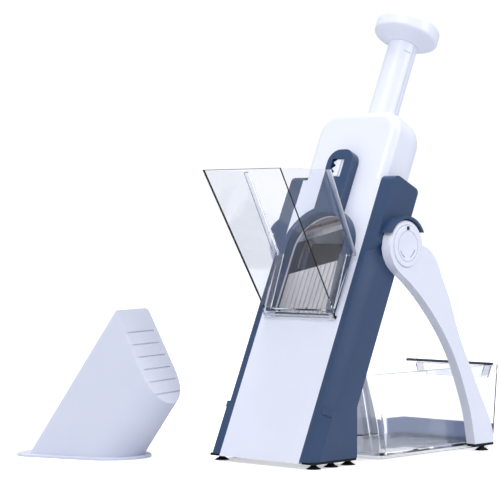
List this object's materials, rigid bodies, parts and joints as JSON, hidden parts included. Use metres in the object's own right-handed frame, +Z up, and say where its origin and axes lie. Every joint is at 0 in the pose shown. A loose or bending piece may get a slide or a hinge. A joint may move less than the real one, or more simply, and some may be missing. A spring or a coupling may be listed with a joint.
{
  "type": "mandoline slicer",
  "caption": "Upright hand-pressed mandoline slicer on two side frames and folding legs, with feed chute, palm plunger, slice container and food pusher.",
  "frame": {"origin": "on the table, in the middle plane of the slicer, straight below the axis the legs pivot on", "axes": "+Z up, +X to the right of a person facing the feed chute, +Y to the back, where the container pulls out"},
  "size_m": [0.2841, 0.3519, 0.3775],
  "materials": {
    "white_abs": "satin white moulded ABS",
    "slate_abs": "fine-grained slate blue moulded ABS",
    "grey_abs": "satin light grey moulded ABS",
    "black_rubber": "matt black rubber",
    "clear_plastic": "clear, faintly smoky polycarbonate",
    "tinted_plastic": "clear, faintly blue-grey polystyrene",
    "blade_steel": "ground stainless steel",
    "bright_steel": "drawn stainless steel",
    "screw_steel": "zinc-plated steel",
    "acetal": "natural acetal",
    "black_plastic": "black marking plastic"
  },
  "bodies": {
    "housing": {"front_shell": "white_abs", "rear_shell": "white_abs", "side_frame_left": "slate_abs", "side_frame_right": "slate_abs", "frame_pad_left": "black_rubber", "frame_pad_right": "black_rubber", "suction_feet_front": "black_rubber", "frame_screws": "screw_steel", "shell_screws": "screw_steel", "tie_rods": "bright_steel", "chute_bezel": "slate_abs", "guide_bracket": "grey_abs", "guide_rods": "bright_steel", "return_springs": "bright_steel", "slice_chute": "slate_abs", "rear_guard": "slate_abs", "rod_bush": "acetal"},
    "plunger": {"carriage": "slate_abs", "guide_bushes": "acetal", "upper_plate": "grey_abs", "slicing_blade": "blade_steel", "blade_screws": "screw_steel", "plunger_rod": "white_abs", "palm_knob": "white_abs", "knob_cap": "white_abs"},
    "runway": {"runway_plate": "grey_abs"},
    "comb": {"comb_bar": "acetal", "julienne_comb": "blade_steel"},
    "dial_right": {"thickness_dial": "white_abs", "thickness_dial_mark": "black_plastic", "thickness_dial_clip": "screw_steel"},
    "dial_left": {"cut_dial": "white_abs", "cut_dial_mark": "black_plastic", "cut_dial_clip": "screw_steel"},
    "leg_left": {"leg_left": "white_abs", "leg_pad_left": "black_rubber", "leg_foot_left": "black_rubber"},
    "leg_right": {"leg_right": "white_abs", "leg_pad_right": "black_rubber", "leg_foot_right": "black_rubber"},
    "lock": {"lock_slider": "white_abs"},
    "hopper": {"feed_hopper": "clear_plastic"},
    "container": {"slice_container": "tinted_plastic", "container_strip": "slate_abs"},
    "pusher": {"pusher_body": "white_abs", "pusher_flange": "white_abs"}
  },
  "joints": [
    {"name": "plunger_press", "type": "slide", "parent": "housing", "child": "plunger", "axis": [0, 0.4131, 0.9107], "range_m": [-0.072, 0], "stiffness_N_per_m": 110, "springref_m": 0.045, "deforming": ["return_springs"]},
    {"name": "runway_depth", "type": "slide", "parent": "plunger", "child": "runway", "axis": [0, 0.9107, -0.4131], "range_m": [0, 0.005]},
    {"name": "comb_feed", "type": "slide", "parent": "plunger", "child": "comb", "axis": [0, -0.9107, 0.4131], "range_m": [0, 0.0017]},
    {"name": "thickness_dial_turn", "type": "hinge", "parent": "housing", "child": "dial_right", "pos_m": [0, 0, 0.17601], "axis": [1, 0, 0], "range_deg": [0, 120]},
    {"name": "cut_dial_turn", "type": "hinge", "parent": "housing", "child": "dial_left", "pos_m": [0, 0, 0.17601], "axis": [-1, 0, 0], "range_deg": [0, 90]},
    {"name": "leg_left_fold", "type": "hinge", "parent": "housing", "child": "leg_left", "pos_m": [0, 0, 0.17601], "axis": [1, 0, 0], "range_deg": [-56, 0]},
    {"name": "leg_right_fold", "type": "hinge", "parent": "housing", "child": "leg_right", "pos_m": [0, 0, 0.17601], "axis": [1, 0, 0], "range_deg": [-56, 0]},
    {"name": "lock_slide", "type": "slide", "parent": "housing", "child": "lock", "axis": [1, 0, 0], "range_m": [0, 0.003]},
    {"name": "hopper_lift_off", "type": "slide", "parent": "housing", "child": "hopper", "axis": [0, -0.9107, 0.4131], "range_m": [0, 0.08]},
    {"name": "container_pull", "type": "slide", "parent": "housing", "child": "container", "axis": [0, 1, 0], "range_m": [0, 0.16]},
    {"name": "pusher_lift", "type": "slide", "parent": "housing", "child": "pusher", "axis": [0, 0, 1], "range_m": [0, 0.15]}
  ],
  "couplings": [
    {"joint": "thickness_dial_turn", "follows": "runway_depth", "rad_per_m": 418.87},
    {"joint": "cut_dial_turn", "follows": "comb_feed", "rad_per_m": 923.9}
  ]
}
